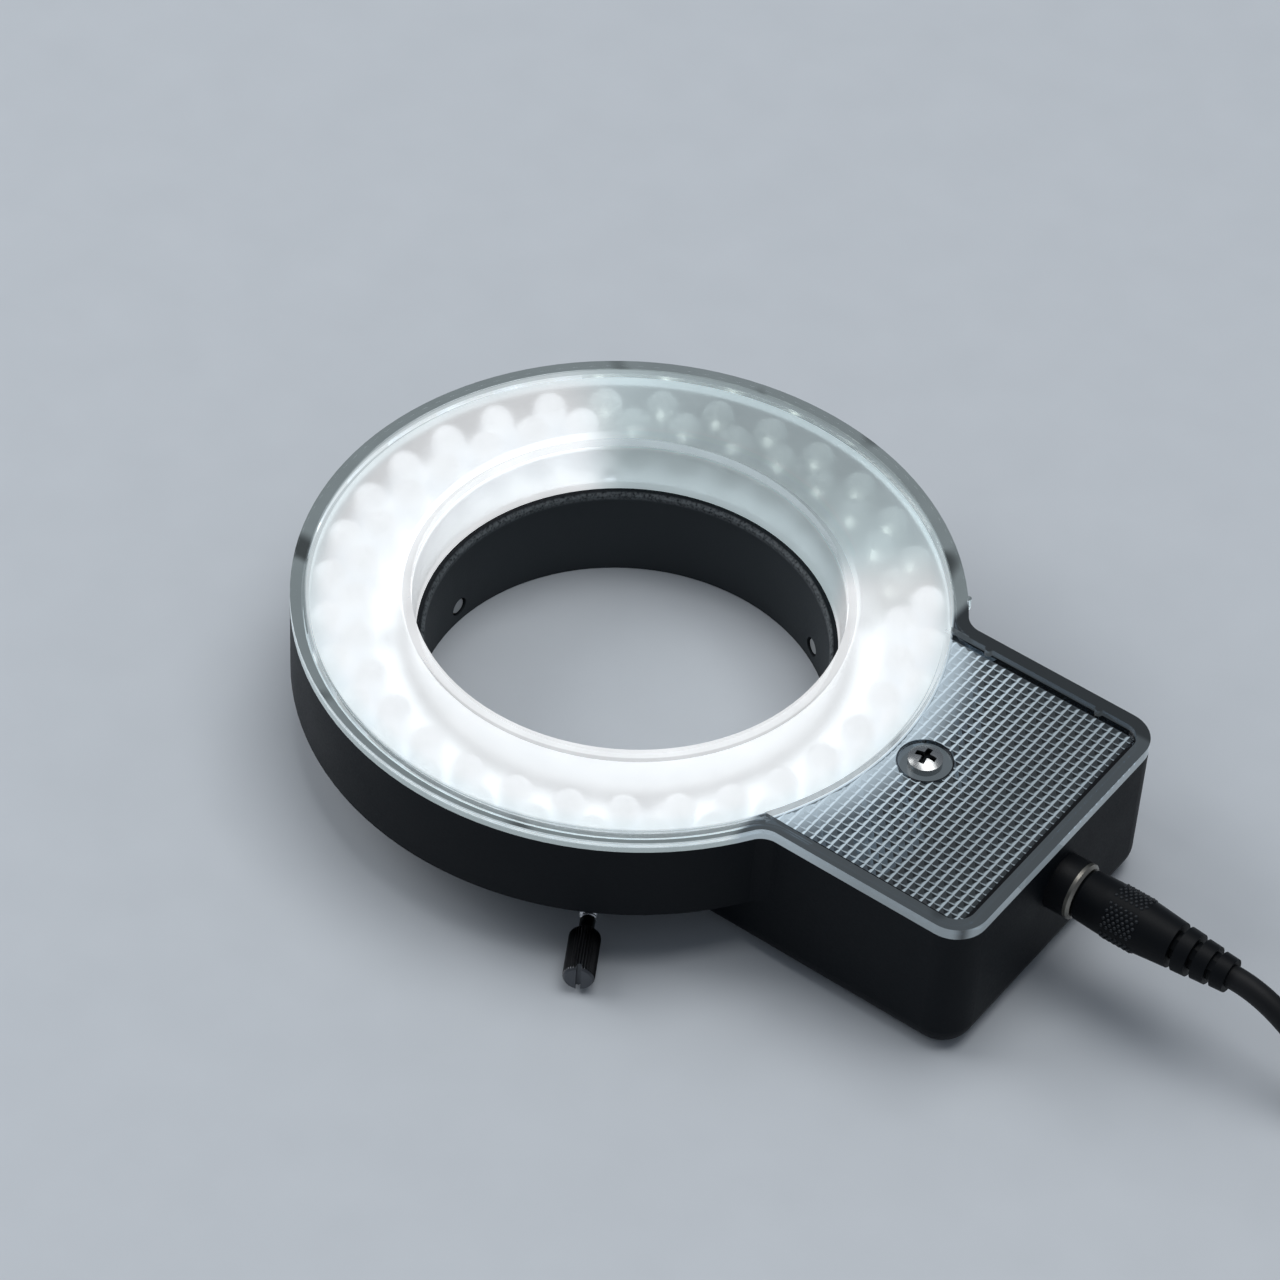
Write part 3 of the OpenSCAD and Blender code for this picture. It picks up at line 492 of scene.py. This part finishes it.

# All of the painted light as one glow, with a faint haze and the cast of the lamps' white, bluer in the
# box's part
level = chain("ADD", over_lamps, prism_light, rim_top, screw_cup_glow)
level = between(wall_like, level, between(inner_wall, rim_light, cone_light))
haze = maths("MULTIPLY_ADD", noise(spot["Object"], 160.0, detail=3.0), 0.24, 0.88)
whiter = times(ramp(reach, 0.0460, 0.0430, 0.4, 1.0), window, lit)
cast = tinted(whiter, (0.79, 0.94, 0.99, 1), (0.94, 0.96, 0.98, 1))
cast = tinted(box_side, cast, (0.74, 0.89, 1.0, 1))
tree.links.new(scaled(cast, times(level, haze)), surface.inputs["Emission Color"])
surface.inputs["Emission Strength"].default_value = 1.0

# The underside is milky over the lamps, the rest is polished. The plastic's tint is hazy in the
# window, greyer where the lamps are on so that what shows through is dimmed under the painted glow, and
# dark over the box as painted shade for the box's dark inside
milky = times(window, ramp(x_y_z["Z"], PLATE_MIDDLE, PLATE_LOW), between(lit, 0.29, 0.40))
polish = times(noise(spot["Object"], 900.0), 0.04)
tree.links.new(maths("ADD", milky, polish), surface.inputs["Roughness"])
hazy = tinted(inner_wall, (0.82, 0.86, 0.87, 1), (0.62, 0.66, 0.68, 1))
tint = tinted(window, (0.93, 0.97, 0.98, 1), hazy)
tint = tinted(times(lit, window), tint, (0.64, 0.66, 0.67, 1))
tint = tinted(box_side, tint, (0.05, 0.07, 0.09, 1))
tree.links.new(tint, surface.inputs["Base Color"])
surface.inputs["Metallic"].default_value = 0.0
surface.inputs["Transmission Weight"].default_value = 1.0
surface.inputs["IOR"].default_value = 1.49
coat(nodes["clear_cover"], clear_plastic)

# Cover screw: a zinc-plated pan head with a cross recess, sunk in the cover's round cup. The recess
# is coloured near-black.
bright_zinc = metal("bright_zinc", (0.44, 0.45, 0.45), 0.28)
tree = bright_zinc.node_tree
_, x_y_z, flat_spot, _ = where(tree)
from_screw = put(tree, "VectorMath", {0: flat_spot, 1: COVER_SCREW}, operation="DISTANCE").outputs["Value"]
in_recess = times(ramp(from_screw, 0.0019, 0.0017), ramp(x_y_z["Z"], 0.0254, 0.0250))
stain(bright_zinc, in_recess, (0.04, 0.044, 0.048, 1))
coat(nodes["cover_screw"], bright_zinc)

# Collar fittings: turned brass inserts pressed into the collar for the thumbscrews, and grey nylon
# pads in the screws' ends, which spare the lens.
coat(nodes["collar_inserts"], metal("turned_brass", (0.70, 0.52, 0.22), 0.3))
pad_nylon = moulded("pad_nylon", (0.36, 0.375, 0.385), 0.4, grain=0.0002)
for side in ("back", "far", "near"):
    coat(nodes["screw_pad_" + side], pad_nylon)

# Thumbscrews: turned steel, chemically blackened, with a cut thread, a straight-knurled head, and a
# slotted end that is machined bright after blackening.
black_oxide = metal("black_oxide", (0.10, 0.105, 0.115), 0.36, mark=0.00012)
worn_thread = metal("worn_thread", (0.74, 0.75, 0.77), 0.24, mark=0.00012)
machined_end = metal("machined_end", (0.78, 0.79, 0.80), 0.34, mark=0.00009, height=0.000006)
BLACK_OXIDE, WORN_THREAD, MACHINED_END = range(3)
THREAD_START, NECK_START, HEAD_START, HEAD_END = 0.03225, 0.0433, 0.0454, 0.0543
THREAD_PITCH, THREAD_ROOT, THREAD_DEPTH, THREAD_STEPS, ROWS_PER_TURN = 0.0005, 0.00112, 0.00028, 28, 6
PAD_HOLE_SHARE, PAD_HOLE_DEPTH = 0.58, 0.0023
NECK_OVERLAP_SHARE, NECK_OVERLAP = 0.8, 0.0004
KNURLS, KNURL_DEPTH, KNURL_SHAPE = 34, 0.0002, (0.0, 0.5, 1.0, 0.5)
SLOT_HALF, SLOT_DEPTH, SCREW_HEIGHT = 0.00035, 0.001, 0.0029


def join_rings(mesh, low, high):
    around = len(low)
    faces = []
    for k in range(around):
        after = (k + 1) % around
        faces.append(mesh.faces.new((low[k], low[after], high[after], high[k])))
    return faces


def narrowed(mesh, ring, share, height):
    return [mesh.verts.new((corner.co.x * share, corner.co.y * share, height)) for corner in ring]


def add_thread(mesh):
    rows = int((NECK_START - THREAD_START) / THREAD_PITCH * ROWS_PER_TURN)
    rings = []
    for row in range(rows + 1):
        along = THREAD_START + (NECK_START - THREAD_START) * row / rows
        ease = min(1, row / ROWS_PER_TURN, (rows - row) / ROWS_PER_TURN)
        ring = []
        for k in range(THREAD_STEPS):
            phase = (along / THREAD_PITCH - k / THREAD_STEPS) % 1.0
            crest = 1 - abs(2 * phase - 1)
            radius = THREAD_ROOT + THREAD_DEPTH * ease * min(1, max(0, crest * 1.5 - 0.25))
            ring.append(mesh.verts.new(on_circle(radius, k / THREAD_STEPS, along)))
        rings.append(ring)
    rings.append(narrowed(mesh, rings[-1], NECK_OVERLAP_SHARE, NECK_START + NECK_OVERLAP))
    mesh.faces.new(rings[-1])
    for low, high in zip(rings, rings[1:]):
        for face in join_rings(mesh, low, high):
            face.smooth = True
            face.material_index = WORN_THREAD
    hole_edge = narrowed(mesh, rings[0], PAD_HOLE_SHARE, THREAD_START)
    hole_end = narrowed(mesh, hole_edge, 1.0, THREAD_START + PAD_HOLE_DEPTH)
    join_rings(mesh, hole_edge, rings[0])
    join_rings(mesh, hole_end, hole_edge)
    mesh.faces.new(hole_end)


def knurled_head():
    mesh = bmesh.new()
    around = KNURLS * len(KNURL_SHAPE)
    profile = [(THREAD_ROOT, NECK_START, 0), (THREAD_ROOT, HEAD_START, 0), (0.0014, HEAD_START, 0),
               (0.0022, HEAD_START + 0.0008, 0), (0.0023, HEAD_START + 0.00105, 1),
               (0.0023, HEAD_END - 0.00055, 1), (0.0022, HEAD_END - 0.0003, 0), (0.00195, HEAD_END, 0)]
    rings = []
    for radius, along, knurled in profile:
        ring = []
        for k in range(around):
            groove = KNURL_SHAPE[k % len(KNURL_SHAPE)] * KNURL_DEPTH * knurled
            ring.append(mesh.verts.new(on_circle(radius - groove, k / around, along)))
        rings.append(ring)
    neck_row, shoulder_row, end_row = 0, 2, len(rings) - 2
    for row, (low, high) in enumerate(zip(rings, rings[1:])):
        for face in join_rings(mesh, low, high):
            face.smooth = row in (neck_row, shoulder_row)
            face.material_index = MACHINED_END if row == end_row else BLACK_OXIDE
    mesh.faces.new(rings[-1]).material_index = MACHINED_END
    mesh.faces.new(rings[0][::-1])
    return mesh


def slotted_screw(name):
    piece = piece_from(knurled_head(), name, black_oxide, worn_thread, machined_end)
    cutter_mesh = bmesh.new()
    block(cutter_mesh, (-0.005, -SLOT_HALF, HEAD_END - SLOT_DEPTH), (0.005, SLOT_HALF, HEAD_END + 0.002))
    cutter = piece_from(cutter_mesh, name + "_cutter", black_oxide)
    cut = piece.modifiers.new("slot", "BOOLEAN")
    cut.object = cutter
    cut.operation = "DIFFERENCE"
    cut.solver = "EXACT"
    cut.material_mode = "TRANSFER"
    shaped = bpy.data.meshes.new_from_object(piece.evaluated_get(bpy.context.evaluated_depsgraph_get()))
    piece.modifiers.clear()
    bpy.data.objects.remove(cutter)
    mesh = bmesh.new()
    mesh.from_mesh(shaped)
    add_thread(mesh)
    bmesh.ops.recalc_face_normals(mesh, faces=mesh.faces)
    mesh.to_mesh(shaped)
    mesh.free()
    piece.data = shaped
    return piece


lying = Matrix.Translation((0, 0, SCREW_HEIGHT)) @ Matrix.Rotation(math.pi / 2, 4, "Y")
for side, turn in (("back", 180), ("far", 60), ("near", -60)):
    screw = slotted_screw("thumbscrew_%s_turned" % side)
    screw.data.transform(Matrix.Rotation(math.radians(turn), 4, "Z") @ lying)
    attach(screw, "screw_" + side)
    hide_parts("thumbscrew_" + side)

# Driver: a green-masked board on three posts, with two sleeved capacitors, two chips and a ferrite
# choke. It is seen only as colour under the prisms.
green_mask = moulded("green_mask", (0.010, 0.075, 0.035), 0.32, grain=0.0012, height=0.00001, drift=0.6)
chip_black = moulded("chip_black", (0.016, 0.016, 0.018), 0.5)
coat(nodes["driver_board"], green_mask)
coat(nodes["driver_board_screws"], zinc)
coat(nodes["capacitors"], moulded("capacitor_sleeve", (0.020, 0.026, 0.06), 0.3))
coat(nodes["chips"], chip_black)
coat(nodes["choke"], moulded("ferrite", (0.035, 0.033, 0.031), 0.7, grain=0.00015, height=0.00002))

# Leads between the boards: two pairs of stranded wire in thin red and black insulation, soldered to
# the driver at one end and to the underside of the lamp board at the other.
LEAD_WIDTH = 0.0012
lead_points = [(0.057, 0.0066), (0.057, 0.0082), (0.0558, 0.010), (0.0536, 0.0112), (0.0446, 0.0110),
               (0.0426, 0.0115), (0.0416, 0.0124), (0.0416, 0.0134)]
red_insulation = moulded("red_insulation", (0.36, 0.018, 0.012), 0.4)
black_insulation = moulded("black_insulation", (0.014, 0.014, 0.014), 0.4)
for colour, insulation, places in (("red", red_insulation, (-0.0145, -0.008)),
                                   ("black", black_insulation, (-0.0125, -0.006))):
    runs = [[Vector((x, y, z)) for x, z in lead_points] for y in places]
    leads = coat(tube_along("leads_" + colour, runs, LEAD_WIDTH), insulation)
    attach(leads, "base")
    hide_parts("wires_" + colour)

# Controls on the far side: an upright board that carries a dimmer and a selector switch. The knob is
# a fluted push-on moulding with a white pointer line, the button a plain moulded cap.
KNOB_PLACE, POINTER_HALF = 0.0625, 0.00038
coat(nodes["control_board"], green_mask)
coat(nodes["dimmer_case"], moulded("dimmer_case", (0.03, 0.07, 0.12), 0.4))
coat(nodes["dimmer_shaft"], zinc)
coat(nodes["dimmer_knob"], moulded("knob_moulding", (0.010, 0.011, 0.013), 0.42))
coat(nodes["selector_switch"], chip_black)
coat(nodes["selector_button"], moulded("button_moulding", (0.03, 0.032, 0.035), 0.4))
line_mesh = bmesh.new()
block(line_mesh, (KNOB_PLACE - POINTER_HALF, 0.0315, 0.0131), (KNOB_PLACE + POINTER_HALF, 0.03192, 0.0161))
pointer = piece_from(line_mesh, "knob_pointer", moulded("pointer_paint", (0.62, 0.63, 0.62), 0.5))
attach(pointer, "dimmer")

# Power socket and plug: a black socket with a nickel ring and pin, and a soft moulded plug with
# patches of raised dots, a ribbed strain relief and a nickel sleeve.
coat(nodes["socket_case"], moulded("socket_moulding", (0.0036, 0.0044, 0.0058), 0.44, specular=0.2))
coat(nodes["socket_ring"], metal("ring_nickel", (0.28, 0.265, 0.235), 0.36))
coat(nodes["socket_pin"], nickel)
coat(nodes["plug_sleeve"], nickel)
soft_grip = moulded("soft_grip", (0.0030, 0.0040, 0.0054), 0.46, grain=0.0002, height=0.000008,
                    specular=0.13)
coat(nodes["plug_grip"], soft_grip)
DOT_PATCHES, DOT_ROWS, DOT_COLUMNS, DOT_STEPS = 5, 7, 6, 8
FIRST_DOT, DOT_STEP, ROW_DEGREES, FIRST_PATCH_DEGREES = 0.0842, 0.00082, 8.6, -17
dot_profile = [(0, 0.0037), (0.0003, 0.0037), (0.0003, 0.0039), (0.00026, 0.00408), (0.00014, 0.00418),
               (0, 0.0042)]
dots = bmesh.new()
for patch in range(DOT_PATCHES):
    for row in range(DOT_ROWS):
        from_patch_middle = ROW_DEGREES * (row - DOT_ROWS // 2)
        turn = math.radians(FIRST_PATCH_DEGREES + 360 / DOT_PATCHES * patch + from_patch_middle)
        for column in range(DOT_COLUMNS):
            along = FIRST_DOT + DOT_STEP * (column + row % 2 / 2)
            lean = Matrix.Translation((along, 0, SOCKET_HEIGHT)) @ Matrix.Rotation(turn, 4, "X")
            revolve(dots, dot_profile, DOT_STEPS, lean)
# The dots are coloured lighter than the grip as a painted sheen, and are glossier
dots_painted_sheen = moulded("dots_painted_sheen", (0.010, 0.013, 0.017), 0.36, grain=0.0002, height=0.000004, specular=0.35)
grip_dots = piece_from(dots, "plug_grip_dots", dots_painted_sheen)
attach(grip_dots, "base")
